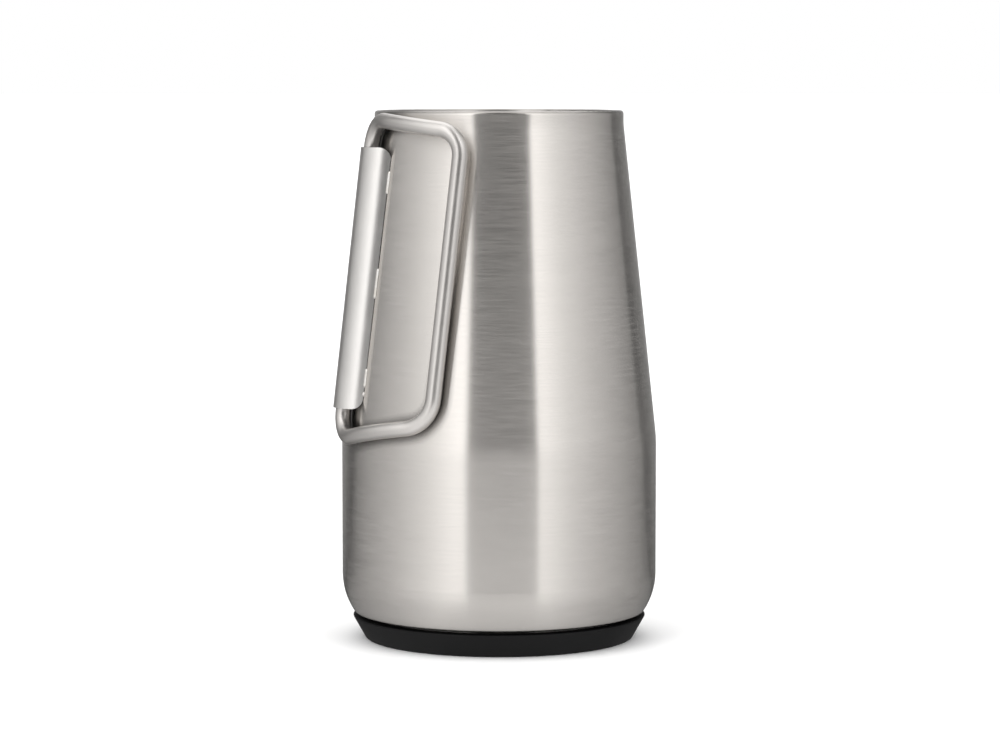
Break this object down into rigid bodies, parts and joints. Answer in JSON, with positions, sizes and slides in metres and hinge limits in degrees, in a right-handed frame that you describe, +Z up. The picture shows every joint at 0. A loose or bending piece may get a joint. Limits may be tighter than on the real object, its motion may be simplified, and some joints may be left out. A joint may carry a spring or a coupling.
{
  "type": "urine bottle",
  "caption": "Stainless double-walled urine bottle: an open tapered vessel with a folding wire loop handle and a flared black foot boot.",
  "frame": {"origin": "centre of the boot's underside, on the vessel's axis, where the vessel stands", "axes": "+Z up along the vessel's axis through the mouth, -X towards the handle's hinge bracket, -Y towards the side that the handle folds to"},
  "size_m": [0.1079, 0.103, 0.1726],
  "materials": {
    "shell_steel": "brushed round the axis, satin",
    "liner_steel": "electropolished, soft satin",
    "weld_steel": "ground or as-welded",
    "bracket_steel": "smooth satin",
    "wire_steel": "drawn wire, polished",
    "boot_rubber": "matte moulded",
    "adhesive": "soft, matte",
    "seal_glass": "fused glass bead",
    "getter_metal": "pressed powder"
  },
  "bodies": {
    "vessel": {"outer_shell": "shell_steel", "inner_liner": "liner_steel", "rim_weld": "weld_steel", "base_cap": "liner_steel", "evacuation_seal": "seal_glass", "getter_pellet": "getter_metal", "getter_holder": "liner_steel", "base_boot": "boot_rubber", "boot_adhesive": "adhesive", "hinge_bracket": "bracket_steel", "bracket_welds": "weld_steel"},
    "handle": {"handle_loop": "wire_steel", "handle_weld": "wire_steel"}
  },
  "joints": [
    {"name": "handle_fold", "type": "hinge", "parent": "vessel", "child": "handle", "pos_m": [-0.04863, 0, 0.1194], "axis": [-0.1064, 0.0292, -0.9939], "range_deg": [0, 180]}
  ]
}
